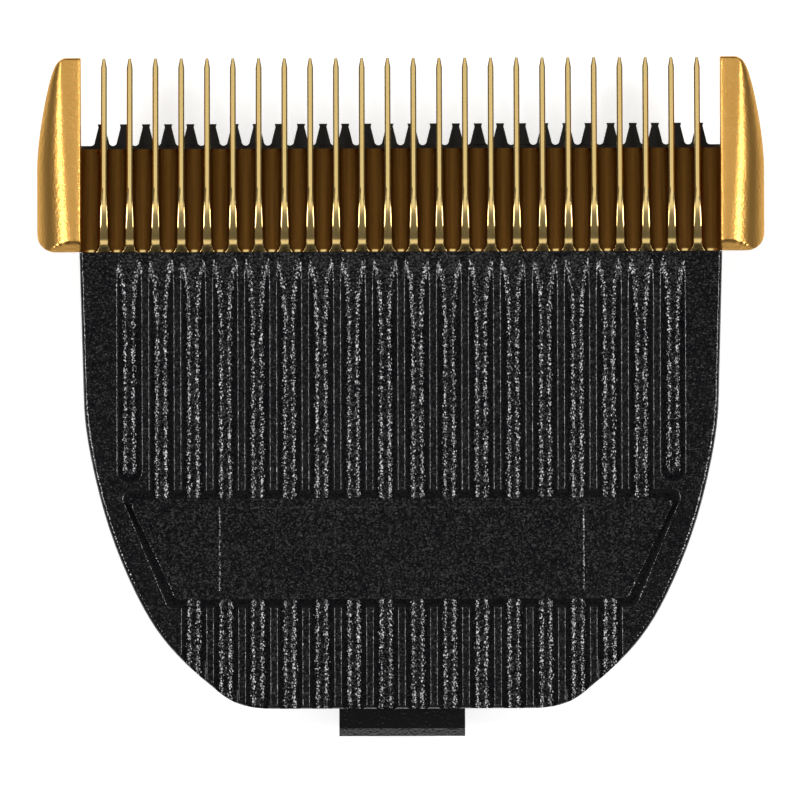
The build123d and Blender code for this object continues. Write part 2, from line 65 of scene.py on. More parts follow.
# %% Helpers for finishes
def feed(tree, socket, value):
    """Links a socket to another node's output, or sets it to a constant."""
    if isinstance(value, bpy.types.NodeSocket):
        tree.links.new(value, socket)
    else:
        socket.default_value = value


def shade(tree, kind, settings=None, **inputs):
    """Adds a shader node. Each input is a constant or the output socket that feeds it."""
    made = tree.nodes.new(kind)
    for name, value in (settings or {}).items():
        setattr(made, name, value)
    for name, value in inputs.items():
        feed(tree, made.inputs[name.replace("_", " ")], value)
    return made


def combine(tree, operation, *values):
    """The result of a math node, from constants or the outputs of other nodes."""
    made = shade(tree, "ShaderNodeMath", {"operation": operation})
    for socket, value in zip(made.inputs, values):
        feed(tree, socket, value)
    return made.outputs["Value"]


def spread(tree, amount, low, high, start=0.0, end=1.0):
    """Maps a value between start and end to a range, and holds it beyond them."""
    made = shade(
        tree, "ShaderNodeMapRange", Value=amount, From_Min=start, From_Max=end, To_Min=low, To_Max=high
    )
    return made.outputs["Result"]


def blend_colours(tree, amount, low, high):
    """A colour ramp from low to high, driven by a value between 0 and 1."""
    ramp = shade(tree, "ShaderNodeValToRGB", Fac=amount)
    ramp.color_ramp.elements[0].color = (*low, 1)
    ramp.color_ramp.elements[1].color = (*high, 1)
    return ramp.outputs["Color"]


def own_place(tree):
    """The object's own coordinates."""
    return tree.nodes.new("ShaderNodeTexCoord").outputs["Object"]


def split_axes(tree, place):
    """The outputs X, Y and Z of a place."""
    return shade(tree, "ShaderNodeSeparateXYZ", Vector=place).outputs


def noise(tree, place, size, detail=2.0, stretch=(1, 1, 1)):
    """Noise whose lumps are about one size across, in metres, and longer along a stretched axis."""
    scaled = shade(tree, "ShaderNodeMapping", Vector=place, Scale=[1 / s for s in stretch])
    texture = shade(
        tree, "ShaderNodeTexNoise", Vector=scaled.outputs["Vector"], Scale=1 / size, Detail=detail
    )
    return texture.outputs["Fac"]


def start_finish(name):
    """A new material with its Principled shader, and the object's own coordinates."""
    material = bpy.data.materials.new(name)
    material.use_nodes = True
    tree = material.node_tree
    return material, tree, tree.nodes["Principled BSDF"], own_place(tree)


# %% [markdown]
# The plastic pieces are moulded in spark-eroded tools, which leave a grain. On the black holder
# it is coarse and glitters. The bump tilts the grains, and each grain is smooth enough to glint
# by itself.

# %% Finishes of the plastic pieces
def moulded_plastic(name, low, high, roughness, grain_size, grain_height):
    """Plastic with a grained surface. Sizes are in metres."""
    material, tree, principled, place = start_finish(name)
    patches = noise(tree, place, 40 * grain_size)
    feed(tree, principled.inputs["Base Color"], blend_colours(tree, patches, low, high))
    feed(tree, principled.inputs["Roughness"], spread(tree, patches, *roughness))
    grain = noise(tree, place, grain_size, detail=1.0)
    bump = shade(tree, "ShaderNodeBump", Strength=1.0, Distance=grain_height, Height=grain)
    feed(tree, principled.inputs["Normal"], bump.outputs["Normal"])
    return material


finishes = {}
finishes["black_plastic"] = moulded_plastic(
    "black_plastic", (0.003, 0.003, 0.004), (0.006, 0.006, 0.007), (0.08, 0.13), 0.17 * MM, 0.026 * MM
)
finishes["white_plastic"] = moulded_plastic(
    "white_plastic", (0.62, 0.60, 0.54), (0.70, 0.68, 0.62), (0.35, 0.5), 0.1 * MM, 0.004 * MM
)
finishes["grey_plastic"] = moulded_plastic(
    "grey_plastic", (0.10, 0.10, 0.11), (0.14, 0.14, 0.15), (0.35, 0.5), 0.1 * MM, 0.006 * MM
)
print("plastics:", ", ".join(finishes))

# %% [markdown]
# The holder's grain isn't the same everywhere. It is deep in the grooves and at the front edge,
# finer on the flats and in the panel, and worn off along the edges. So its height depends on the
# place: a ramp over Z tells grooves from edges and flats, and two ranges along Y mark the panel
# and the front edge. The deep grain is also flecked with matt spots.

# %% Grain by place
grain_levels = (12.2 * MM, 12.81 * MM)       # heights that the stops run over
# Each stop: place between the levels, and share of the grain's height there
grain_stops = ((0.20, 0.2), (0.28, 1.0), (0.75, 1.0), (0.82, 0.0), (0.95, 0.0), (0.972, 0.75))
panel_middle = -9.54 * MM
panel_edge = (3.3 * MM, 3.7 * MM)            # from its middle
panel_share = 0.85                           # of the grain's height elsewhere
front_strip = (5.8 * MM, 7.4 * MM)           # grain comes back towards the front edge
front_share = 0.85
fleck_size = 0.13 * MM
fleck_range = (0.46, 0.60)                   # of the noise
fleck_shine = (0.05, 0.85)
edge_shine = 0.75


def grain_by_place(material, least_height, most_height):
    """Sets the height and the shine of the grain from a share between 0 and 1 for each place."""
    tree = material.node_tree
    principled = tree.nodes["Principled BSDF"]
    bump = principled.inputs["Normal"].links[0].from_node
    place = own_place(tree)
    axes = split_axes(tree, place)
    ramp = shade(tree, "ShaderNodeValToRGB", Fac=spread(tree, axes["Z"], 0.0, 1.0, *grain_levels))
    while len(ramp.color_ramp.elements) < len(grain_stops):
        ramp.color_ramp.elements.new(1.0)
    for element, (position, share) in zip(ramp.color_ramp.elements, grain_stops):
        element.position = position
        element.color = (share, share, share, 1)
    from_panel = combine(tree, "ABSOLUTE", combine(tree, "SUBTRACT", axes["Y"], panel_middle))
    outside = spread(tree, from_panel, panel_share, 1.0, *panel_edge)
    front = spread(tree, axes["Y"], 0.0, front_share, *front_strip)
    share = combine(tree, "MAXIMUM", combine(tree, "MULTIPLY", ramp.outputs["Color"], outside), front)
    feed(tree, bump.inputs["Distance"], spread(tree, share, least_height, most_height))
    flecks = spread(tree, noise(tree, place, fleck_size, detail=1.0), *fleck_shine, *fleck_range)
    feed(tree, principled.inputs["Specular IOR Level"], spread(tree, share, edge_shine, flecks))


grain_by_place(finishes["black_plastic"], 0.008 * MM, 0.040 * MM)
print("grain by place: black_plastic")

# %% [markdown]
# Metal is shaped by its reflections. The comb is ground lengthwise and then coated gold, so
# its marks are long and thin along Y. The guards have a satin coat of fine metal flake.

# %% Finishes of the metal pieces
def coated_metal(name, low, high, roughness, grain_size, grain_height, stretch, metallic=1.0):
    """Metal or coated metal with a fine grain, stretched along the direction of grinding."""
    material, tree, principled, place = start_finish(name)
    grain = noise(tree, place, grain_size, stretch=stretch)
    clouds = noise(tree, place, 12 * grain_size, stretch=stretch)
    feed(tree, principled.inputs["Base Color"], blend_colours(tree, clouds, low, high))
    feed(tree, principled.inputs["Roughness"], spread(tree, grain, *roughness))
    feed(tree, principled.inputs["Metallic"], metallic)
    bump = shade(tree, "ShaderNodeBump", Strength=1.0, Distance=grain_height, Height=grain)
    feed(tree, principled.inputs["Normal"], bump.outputs["Normal"])
    return material


even = (1, 1, 1)
along_y = (1, 12, 1)
along_x = (12, 1, 1)
finishes["gold_comb"] = coated_metal(
    "gold_comb", (0.86, 0.60, 0.22), (0.92, 0.68, 0.28), (0.12, 0.20), 0.04 * MM, 0.0006 * MM, along_y
)
finishes["gold_guard"] = coated_metal(
    "gold_guard", (0.76, 0.40, 0.09), (0.84, 0.47, 0.13), (0.26, 0.36), 0.16 * MM, 0.016 * MM, even
)
finishes["black_blade"] = coated_metal(
    "black_blade", (0.010, 0.010, 0.010), (0.014, 0.013, 0.012), (0.14, 0.22), 0.05 * MM, 0.001 * MM,
    along_x, metallic=0.0
)
finishes["plain_steel"] = coated_metal(
    "plain_steel", (0.50, 0.50, 0.51), (0.62, 0.62, 0.62), (0.18, 0.30), 0.04 * MM, 0.001 * MM, along_x
)
finishes["spring_steel"] = coated_metal(
    "spring_steel", (0.42, 0.41, 0.40), (0.54, 0.53, 0.51), (0.20, 0.34), 0.05 * MM, 0.001 * MM, even
)
print("finishes:", ", ".join(finishes))

# %% [markdown]
# In the comb's slots the gold is painted darker and browner, as painted shade. It is a second colour below a
# plane that lies just over the slot floors, with lighter streaks of painted sheen along the middle of each
# slot.
# At the heel of a slot, next to the holder, a small painted highlight stays bright.

# %% Painted shade, sheen and highlight in the comb's slots
comb_low = np.array(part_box("fixed_comb")[0]) / MM
comb_back = comb_low[2]
tooth_pitch = 1.633
half_pitch = tooth_pitch / 2
floor_end = 15.79            # slot floors meet the back of the comb
floor_rise = 1.76 / 6.59
heel_y = 9.38                # slot floors lie flatter from here to the holder
# painted shade: the slots are coloured darker up to this height above their floors
shade_edge = (0.02, 0.15)     # above the slot floors
# painted sheen: lighter streaks along the middle of each slot
sheen_streak_size, sheen_streak_length, sheen_streak_shift = 0.12, 40, 0.5
sheen_streak_edge = (0.25, 0.75)   # from the middle of a slot
# painted highlight: a bright spot at the heel of each slot
heel_highlight_along = (-0.02, 0.04)    # along Y, from the heel
heel_highlight_across = (0.12, 0.20)     # across X, from the middle of a slot


def metres(sizes, start=0.0):
    """Sizes in millimetres, counted from a start, in metres."""
    return [(start + size) * MM for size in sizes]


def paint_slot_shade(material, low, high):
    """Mixes painted shade, streaks of painted sheen and a painted highlight at each heel into a finish, by
    the height over the slot floors and the place across.
    """
    tree = material.node_tree
    principled = tree.nodes["Principled BSDF"]
    bright = principled.inputs["Base Color"].links[0].from_socket
    place = own_place(tree)
    axes = split_axes(tree, place)
    over_floor = shade(tree, "ShaderNodeVectorMath", {"operation": "DOT_PRODUCT"})
    feed(tree, over_floor.inputs[0], place)
    feed(tree, over_floor.inputs[1], (0, floor_rise, 1))
    lowest, highest = metres(shade_edge, comb_back + floor_rise * floor_end)
    # painted shade below a plane just over the slot floors
    height = shade(
        tree, "ShaderNodeMapRange", {"interpolation_type": "SMOOTHSTEP"},
        Value=over_floor.outputs["Value"], From_Min=lowest, From_Max=highest,
    )
    across = combine(tree, "PINGPONG", axes["X"], half_pitch * MM)
    # painted sheen: lighter streaks along the middle of each slot, wavering with noise
    sheen_streaks = noise(tree, place, sheen_streak_size * MM, stretch=(1, sheen_streak_length, sheen_streak_length))
    shifted = combine(tree, "MULTIPLY_ADD", sheen_streaks, sheen_streak_shift * MM, across)
    shade_and_sheen = blend_colours(tree, spread(tree, shifted, 1.0, 0.0, *metres(sheen_streak_edge)), low, high)
    # painted highlight: a bright spot at the heel of each slot, in the middle across
    highlight_near_heel = spread(tree, axes["Y"], 1.0, 0.0, *metres(heel_highlight_along, heel_y))
    heel_highlight = combine(tree, "MULTIPLY", highlight_near_heel, spread(tree, across, 1.0, 0.0, *metres(heel_highlight_across)))
    bright_share = combine(tree, "MAXIMUM", height.outputs["Result"], heel_highlight)
    mix = shade(tree, "ShaderNodeMix", {"data_type": "RGBA"}, Factor=bright_share)
    feed(tree, mix.inputs[6], shade_and_sheen)
    feed(tree, mix.inputs[7], bright)
    feed(tree, principled.inputs["Base Color"], mix.outputs[2])


# painted shade, painted sheen and a painted heel highlight in the comb's slots
paint_slot_shade(finishes["gold_comb"], (0.20, 0.07, 0.01), (0.55, 0.25, 0.05))
print("slot coat: gold_comb")

# %% [markdown]
# ## CAD nodes that stay
# The holder, the moving blade and the drive behind it are shown as they come from the CAD, each
# with the finish of its slot. The blade is punched and coated, so its edges are eased a little:
# the modifiers first join the vertices that the CAD mesh splits, and then bevel the edges.

# %% Finishes and eased edges on the CAD nodes
def ease_edges(node, width):
    """Rounds the sharp edges of a CAD node. Its split vertices are joined first."""
    weld = node.modifiers.new("join", "WELD")
    weld.merge_threshold = 0.001 * MM
    ease = node.modifiers.new("ease", "BEVEL")
    ease.width = width
    ease.segments = 3
    ease.limit_method = "ANGLE"
    ease.angle_limit = math.radians(25)
    ease.harden_normals = True


for node in nodes.values():
    for place in node.material_slots:
        place.material = finishes[place.material.name.split(".")[0]]
ease_edges(nodes["moving_blade"], 0.03 * MM)
print("finished nodes:", len(nodes))

# %% [markdown]
# ## End guards
# A guard is moulded: flat beside the comb, then rolled over to the outside, and it narrows to a
# nose. Its surface is one section carried along Y. The first parameter runs round the section
# and the second runs from the foot, at the holder, to the nose. Each section only changes its
# width and its height, so whole arrays give every point at once.

# %% Surface helpers
def tube_faces(rows, columns, closed=False):
    """Four-sided faces of a grid that is closed across its columns, and along its rows too if asked."""
    index = np.arange(rows * columns).reshape(rows, columns)
    here = index if closed else index[:-1]
    over = np.roll(index, -1, 0) if closed else index[1:]
    return np.stack([here, np.roll(here, -1, 1), np.roll(over, -1, 1), over], axis=-1).reshape(-1, 4)


def end_faces(columns, first, last):
    """Triangles that close both ends of a tube, fanned from one corner of each end."""
    step = np.arange(1, columns - 1)
    foot = np.stack([first + 0 * step, first + step + 1, first + step], axis=-1)
    tip = np.stack([last + 0 * step, last + step, last + step + 1], axis=-1)
    return np.concatenate([foot, tip])


def halves(quads):
    """Two triangles for each four-sided face."""
    return np.concatenate([quads[:, [0, 1, 2]], quads[:, [0, 2, 3]]])


def closed_tube(points):
    """A shell from a grid of points: the tube's faces and both of its ends."""
    rows, columns = points.shape[:2]
    ends = end_faces(columns, 0, (rows - 1) * columns)
    return points.reshape(-1, 3), np.concatenate([halves(tube_faces(rows, columns)), ends])


def joined(shells):
    """One list of points and triangles from several closed shells, each turned to face outwards."""
    all_points, all_faces, start = [], [], 0
    for points, faces in shells:
        corners = points[faces]
        volume = np.einsum("ij,ij->", corners[:, 0], np.cross(corners[:, 1], corners[:, 2]))
        all_faces.append(start + (faces if volume > 0 else faces[:, ::-1]))
        all_points.append(points)
        start += len(points)
    return np.concatenate(all_points), np.concatenate(all_faces)


def make_piece(name, shells, slot, body, *stands_for):
    """An object from closed shells in millimetres. Equal points are joined and empty faces left out.

    A piece that bends across a joint has no body here."""
    points, faces = joined(shells)
    points, place = np.unique(np.round(points, 6), axis=0, return_inverse=True)
    faces = place.reshape(-1)[faces]
    whole = (faces[:, 0] != faces[:, 1]) & (faces[:, 1] != faces[:, 2]) & (faces[:, 2] != faces[:, 0])
    mesh = bpy.data.meshes.new(name)
    mesh.from_pydata((points * MM).tolist(), [], faces[whole].tolist())
    mesh.polygons.foreach_set("use_smooth", np.ones(len(mesh.polygons), dtype=bool))
    mesh.set_sharp_from_angle(angle=math.radians(32))
    mesh.update()
    mesh.materials.append(finishes[slot])
    piece = bpy.data.objects.new(name, mesh)
    bpy.context.collection.objects.link(piece)
    if body:
        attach(piece, body)
    if stands_for:
        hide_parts(*stands_for)
    print(name, len(mesh.polygons), "faces")
    return piece


# %% Guard section and its path
guard_low, guard_high = (np.array(corner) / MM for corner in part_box("right_end_guard"))
guard_inner, foot_y, guard_base = guard_low
guard_outer, tip_y = guard_high[0], guard_high[1]
guard_length = tip_y - foot_y
guard_rise = 3.3             # above its base at the foot
nose_rise = 2.2
nose_length = 7.0            # the outer side draws in over this length
nose_terms = ((1.18, 1.64), (0.27, 12), (0.27, 40))    # draw-in and power of each term
flat_strip, flat_growth = 0.45, 0.75                   # width at the foot, and what it gains to the nose
crown_least = 0.22           # rounded strip left at the nose
crown_slope = 0.55           # fall of the rounded strip, of its width
tip_round = 0.13
foot_round = 1.1
foot_slope = 0.7             # height of the sloped cut at the foot
inner_round = 0.10
inner_slope = (0.14, 0.035)  # width and height of the sloped edge along the comb
pocket_width, pocket_depth, pocket_length = 1.45, 0.95, 8.65
pocket_step = 0.001          # between the rows at the end of the pocket
guard_rows, inner_columns, roll_columns = 60, 6, 30


def guard_points(side):
    """Section points for every row. x is drawn in at the nose and the foot, z is cut by the foot's slope."""
    y = foot_y + guard_length * (0.5 - 0.5 * np.cos(np.pi * np.linspace(0, 1, guard_rows)))
    pocket_end = foot_y + pocket_length
    y = np.sort(np.concatenate([y, [pocket_end - pocket_step, pocket_end]]))[:, None]
    zero = 0 * y
    along = (y - foot_y) / guard_length
    towards_nose = np.clip((y - tip_y) / nose_length + 1, 0, 1)
    outer = guard_outer - sum(reach * towards_nose ** power for reach, power in nose_terms)
    top = guard_base + guard_rise + (nose_rise - guard_rise) * along
    to_edge = np.clip(y - (tip_y - tip_round), 0, tip_round)
    top = top - (tip_round - np.sqrt(tip_round ** 2 - to_edge ** 2))
    flat_end = np.minimum(guard_inner + flat_strip + flat_growth * along, outer - crown_least)
    pocket = np.where(y < pocket_end, guard_base + pocket_depth, guard_base)

    turn = np.linspace(0, np.pi / 2, inner_columns)[None]
    inner_x = guard_inner + inner_round * (1 - np.cos(turn)) + zero
    inner_z = top - inner_slope[1] - inner_round * (1 - np.sin(turn))
    t = np.linspace(0, 1, roll_columns)[None]
    roll_x = flat_end + (outer - flat_end) * t
    roll_z = top - crown_slope * (outer - flat_end) * t ** 2
    wall = np.minimum(guard_inner + pocket_width, outer)
    strip = guard_inner + inner_round + inner_slope[0] + zero
    x = np.hstack([guard_inner + zero, inner_x, strip, roll_x, outer, wall, wall])
    z = np.hstack([pocket, inner_z, top, roll_z, guard_base + zero, guard_base + zero, pocket])

    corner = np.clip(foot_round - (y - foot_y), 0, foot_round)
    foot_outer = guard_outer - (foot_round - np.sqrt(foot_round ** 2 - corner ** 2))
    x = np.minimum(x, foot_outer)
    z = np.minimum(z, guard_base + guard_rise - foot_slope + (y - foot_y))
    return np.stack([side * x, y + 0 * x, z], axis=-1)


# %% Guards with their pegs
tab_width, tab_length = 1.4, 8.6     # the comb's tab in the guard's pocket
peg_radius, peg_spacing, peg_sides = 0.4, 5.0, 24
tab_middle_x = guard_inner + tab_width / 2
tab_middle_y = foot_y + tab_length / 2


def peg_points(side, place):
    """Two rings of a round peg under the guard, through the comb's tab."""
    turn = np.linspace(0, 2 * np.pi, peg_sides, endpoint=False)
    x = side * tab_middle_x + peg_radius * np.cos(turn)
    y = place + peg_radius * np.sin(turn)
    levels = (guard_base, guard_base + pocket_depth)
    return np.stack([np.stack([x, y, level + 0 * turn], axis=-1) for level in levels])


for side, name in ((1, "right"), (-1, "left")):
    places = (tab_middle_y - peg_spacing / 2, tab_middle_y + peg_spacing / 2)
    shells = [closed_tube(guard_points(side))]
    shells += [closed_tube(peg_points(side, place)) for place in places]
    make_piece(name + "_guard", shells, "gold_guard", "holder", name + "_end_guard")

# %% [markdown]
# ## Comb
# The comb is ground from one strip: 25 slots leave 24 teeth. Its front is a function of two
# parameters. Along Y, three planes give the height of the front, one gives the slot floor and a
# curve gives the slot's width. Across X the same list of columns repeats for every tooth: slot
# floor, rounded corner, wall, bevelled edge and front. A flat back closes it. Where a slot cuts
# right through, front and back meet, and those faces are left out.

# %% Heights and widths along the comb
comb_y = foot_y
tooth_count = 24
point_y = tip_y - 0.6        # teeth narrow to their points from here
foot_height, foot_rise = 1.9, 0.31
root_height, root_fall = 2.11, 0.02
shoulder_height, shoulder_y, tip_fall = 2.05, 12.24, 0.199
front_softness = 0.06        # rounds the front where its planes cross
heel_slope = math.tan(math.radians(10.5))
spread_y, spread_radius = 9.78, 0.761    # feet of the teeth spread from here, round an arc
width_places = (spread_y, 12.2, point_y, tip_y)
width_halves = (0.555, 0.6265, 0.6265, 0.7365)


def soft_least(values, softness):
    """The least of several heights, rounded where they cross."""
    return -softness * np.log(sum(np.exp(-value / softness) for value in values))


def front_height(y):
    """Foot, level root and long slope to the tips, above the back of the comb."""
    foot = foot_height + foot_rise * (y - comb_y)
    root = root_height - root_fall * (y - comb_y)
    slope = shoulder_height - tip_fall * (y - shoulder_y)
    return soft_least([foot, root, slope], front_softness)


def floor_height(y):
    """The slot floor rises from the back, then lies flatter on a short heel at the holder."""
    steep = floor_rise * (floor_end - np.maximum(y, heel_y))
    return np.maximum(steep + heel_slope * np.maximum(heel_y - y, 0), 0)


def slot_half(y):
    """Half the slot's width at the back: spread feet, slight flare, straight teeth and points."""
    turn = np.arcsin(np.clip((spread_y - y) / spread_radius, 0, 1))
    feet = width_halves[0] - spread_radius * (1 - np.cos(turn))
    return np.where(y < spread_y, feet, np.interp(y, width_places, width_halves))


print("comb:", tooth_count, "teeth,", round(tip_y - comb_y, 2), "mm long")

# %% Tooth columns, repeated across the comb
row_stops = (comb_y, 10.1, 12.6, floor_end, point_y, tip_y)
row_counts = (15, 13, 7, 8, 7)
wall_slope = math.tan(math.radians(0.3))
corner_round, corner_share = 0.2, 0.4            # corner of the slot floor, and its most of the depth
corner_columns = 6
bevel_places, bevel_widths = (10.0, 12.6), (0.034, 0.08)
turn_places = (9.8, 10.0, 10.5, 10.9, 12.2, 13.2)
bevel_turns = (16, 6, 6, 16.5, 16.5, 40)         # degrees
bevel_share, drop_share = 0.45, 0.4              # most of the tooth's half width and of the depth


def comb_surface():
    """Grids of x, y and z for all rows: slot floor, corner, wall, bevel and front of each tooth."""
    stretches = zip(row_stops[:-1], row_stops[1:], row_counts)
    rows = [np.linspace(start, end, count, endpoint=False) for start, end, count in stretches]
    y = np.concatenate(rows + [[tip_y]])[:, None]
    front, middle, half = front_height(y), floor_height(y), slot_half(y)
    low = floor_rise * np.maximum(floor_end - y, 0)
    depth = front - low
    corner = np.minimum(corner_round * np.clip(floor_end - y, 0, 1), corner_share * depth)
    front_half = half_pitch - half - wall_slope * front
    bevel = np.minimum(np.interp(y, bevel_places, bevel_widths), bevel_share * front_half)
    bevel_turn = np.radians(np.interp(y, turn_places, bevel_turns))
    drop = np.minimum(bevel * np.tan(bevel_turn), drop_share * depth)
    turn = np.linspace(0, np.pi / 2, corner_columns)[None]
    wall = half + wall_slope * low
    x = np.hstack([
        0.5 * (wall - corner), wall - corner * (1 - np.sin(turn)),
        half_pitch - front_half, half_pitch - front_half + bevel, half_pitch + 0 * y,
    ])
    z = np.hstack([middle, low + corner * (1 - np.cos(turn)), front - drop, front, front])
    tooth_x = np.hstack([x, (tooth_pitch - x)[:, -2::-1]])
    tooth_z = np.hstack([z, z[:, -2::-1]])
    starts = tooth_pitch * (np.arange(tooth_count + 1) - tooth_count / 2)
    slots = [np.hstack([start + 0 * y, start + tooth_x]) for start in starts[:-1]]
    all_x = np.hstack([-guard_inner + 0 * y] + slots + [starts[-1] + 0 * y, guard_inner + 0 * y])
    all_z = np.hstack([low] + [np.hstack([middle, tooth_z])] * tooth_count + [middle, low])
    return all_x, y + 0 * all_x, all_z


def comb_shell():
    """The toothed sheet: front grid, flat back grid and the strips between their borders."""
    x, y, z = comb_surface()
    rows, columns = x.shape
    front = np.stack([x, y, comb_back + z], axis=-1).reshape(-1, 3)
    back = np.stack([x, y, comb_back + 0 * z], axis=-1).reshape(-1, 3)
    u = np.arange(rows * columns).reshape(rows, columns)
    low = u + rows * columns
    quads = [
        np.stack([u[:-1, :-1], u[:-1, 1:], u[1:, 1:], u[1:, :-1]], axis=-1),
        np.stack([low[:-1, :-1], low[1:, :-1], low[1:, 1:], low[:-1, 1:]], axis=-1),
        np.stack([u[0, :-1], low[0, :-1], low[0, 1:], u[0, 1:]], axis=-1),
        np.stack([u[-1, :-1], u[-1, 1:], low[-1, 1:], low[-1, :-1]], axis=-1),
        np.stack([u[:-1, 0], u[1:, 0], low[1:, 0], low[:-1, 0]], axis=-1),
        np.stack([u[:-1, -1], low[:-1, -1], low[1:, -1], u[1:, -1]], axis=-1),
    ]
    quads = np.concatenate([quad.reshape(-1, 4) for quad in quads])
    thickness = np.concatenate([z.reshape(-1)] * 2)
    solid = thickness[quads].max(axis=1) > 1e-9
    return np.concatenate([front, back]), halves(quads[solid])


print("rows along a tooth:", sum(row_counts) + 1)

# %% [markdown]
# Behind the teeth the comb goes on as a flange with three countersunk screw holes, and a tab at
# each end takes the guards' pegs. Each hole has a plate of its own. Rings run from the plate's
# outline to the hole on one side, through it, and out to the outline on the other side.

# %% Comb, flange and tabs as one piece
flange_thickness = 0.9
flange_half, flange_step = 16.8, 0.8     # narrower than the comb behind a short full-width step
screw_spacing, screw_y = 12.0, 6.0
screw_places = (-screw_spacing, 0.0, screw_spacing)
screw_radii, screw_head_depth = (1.12, 0.62, 0.62), 0.5
peg_hole_radius = 0.42
side_steps = 8                           # points along each side of a plate


def plate_shell(low, high, centre, radii, levels):
    """A flat plate with a round hole, from rings about the hole's centre and their heights."""
    t = np.linspace(0, 1, side_steps, endpoint=False)
    width, length = high[0] - low[0], high[1] - low[1]
    outline = np.concatenate([
        np.stack([low[0] + width * t, low[1] + 0 * t], 1),
        np.stack([high[0] + 0 * t, low[1] + length * t], 1),
        np.stack([high[0] - width * t, high[1] + 0 * t], 1),
        np.stack([low[0] + 0 * t, high[1] - length * t], 1),
    ])
    away = outline - centre
    unit = away / np.linalg.norm(away, axis=1, keepdims=True)
    rings = [outline] + [centre + radius * unit for radius in radii] + [outline]
    heights = [levels[0]] + list(levels) + [levels[-1]]
    points = np.stack([
        np.column_stack([ring, np.full(len(ring), height)]) for ring, height in zip(rings, heights)
    ])
    return points.reshape(-1, 3), halves(tube_faces(*points.shape[:2], closed=True))


def block_shell(low, high):
    """Points and triangles of a plain block."""
    ring = np.array([(low[0], low[1]), (high[0], low[1]), (high[0], high[1]), (low[0], high[1])])
    return closed_tube(np.stack([np.column_stack([ring, np.full(4, z)]) for z in (low[2], high[2])]))


flange_top = comb_back + flange_thickness
screw_levels = (comb_back, comb_back + screw_head_depth, flange_top)
borders = (-flange_half, -screw_spacing / 2, screw_spacing / 2, flange_half)
shells = [comb_shell()]
for screw_x, left, right in zip(screw_places, borders[:-1], borders[1:]):
    low, high = (left, comb_low[1]), (right, comb_y)
    shells.append(plate_shell(low, high, (screw_x, screw_y), screw_radii, screw_levels))
for side in (-1, 1):
    left, right = sorted((side * flange_half, side * guard_inner))
    shells.append(block_shell((left, comb_y - flange_step, comb_back), (right, comb_y, flange_top)))
    left, right = sorted((side * guard_inner, side * (guard_inner + tab_width)))
    for start, hole in ((comb_y, -peg_spacing / 2), (tab_middle_y, peg_spacing / 2)):
        low, high = (left, start), (right, start + tab_length / 2)
        centre = (side * tab_middle_x, tab_middle_y + hole)
        radii, levels = (peg_hole_radius, peg_hole_radius), (comb_back, flange_top)
        shells.append(plate_shell(low, high, centre, radii, levels))
make_piece("comb", shells, "gold_comb", "holder", "fixed_comb")

# %% [markdown]
# ## Run-outs of the grooves
# Towards the comb each groove grows shallower until it ends in the surface. Its section is the
# groove's own section, made flatter by a share that falls along Y. A closed filler per groove
# carries that surface, and its sides and underside lie inside the holder.

# %% Groove run-outs
plate_front = 12.8
edge_y = comb_y - 0.05                   # front edge of the holder
groove_count, groove_pitch = 18, 2.02
groove_width, groove_depth, land_round = 1.54, 0.39, 0.15
ramp_length, ease_length = 2.6, 4.6      # straight ramp of the CAD groove, and the softer run-out
ramp_softness = 0.01
edge_gap = 0.02                          # fillers stop short of the front edge
tuck_depth = 0.006                       # fillers start below the groove, over their first millimetre
filler_depth = 0.6
filler_rows, filler_columns = 30, 41
trough_radius = (groove_width ** 2 / 4 + groove_depth ** 2) / (2 * groove_depth)
trough_centre = trough_radius - groove_depth
land_x = math.sqrt((trough_radius + land_round) ** 2 - (trough_centre + land_round) ** 2)
join_x = land_x * trough_radius / (trough_radius + land_round)


def groove_section(x):
    """Height of the groove below the surface: a round trough between rounded lands."""
    trough = trough_centre - np.sqrt(trough_radius ** 2 - x ** 2)
    land = np.sqrt(np.maximum(land_round ** 2 - (land_x - np.abs(x)) ** 2, 0)) - land_round
    return np.where(np.abs(x) < join_x, trough, land)


def run_out_shell(centre):
    """A filler whose top is the groove's section times a share that eases from one to nothing along y."""
    x = np.linspace(-land_x, land_x, filler_columns)[None]
    y = np.linspace(edge_y - ease_length, edge_y - edge_gap, filler_rows)[:, None]
    from_start = y - edge_y + ease_length
    eased = groove_depth * (1 - (from_start / ease_length) ** 2)
    ramp = groove_depth * (edge_y - y) / ramp_length
    share = np.maximum(soft_least([eased, ramp], ramp_softness) / groove_depth, 0)
    top = plate_front + share * groove_section(x) - tuck_depth * np.clip(1 - from_start, 0, 1)
    upper = np.stack([centre + x + 0 * y, y + 0 * x, top], axis=-1)
    lower = upper * [1, 1, 0] + [0, 0, plate_front - filler_depth]
    sections = np.concatenate([upper, lower[:, ::-1]], axis=1)
    rows, columns = sections.shape[:2]
    step = np.arange(columns // 2 - 1)
    back = np.stack([step, columns - 1 - step, columns - 2 - step, step + 1], axis=-1)
    front = back[:, ::-1] + (rows - 1) * columns
    return sections.reshape(-1, 3), halves(np.concatenate([tube_faces(rows, columns), back, front]))


places = groove_pitch * (np.arange(groove_count) - (groove_count - 1) / 2)
make_piece("groove_run_outs", [run_out_shell(place) for place in places], "black_plastic", "holder")

# %% [markdown]
# ## Torsion springs
# Each spring winds three turns round a pivot. One leg hooks under the rocker's arm and the other
# bears on the holder, so that the spring presses the cutter against the comb. When the rocker
# swings, the wire twists along the coil.

# %% Springs round the rocker's pivot
pivot_y, pivot_z = -1.5, 6.3
coil_start, coil_length, coil_turns = 11.0, 2.55, 3
coil_radius, wire_radius = 2.52, 0.3
arm_leg, tail_leg, hook_length, hook_round = 4.7, 6.5, 1.6, 0.6
turn_points, bend_points, wire_sides = 40, 10, 16


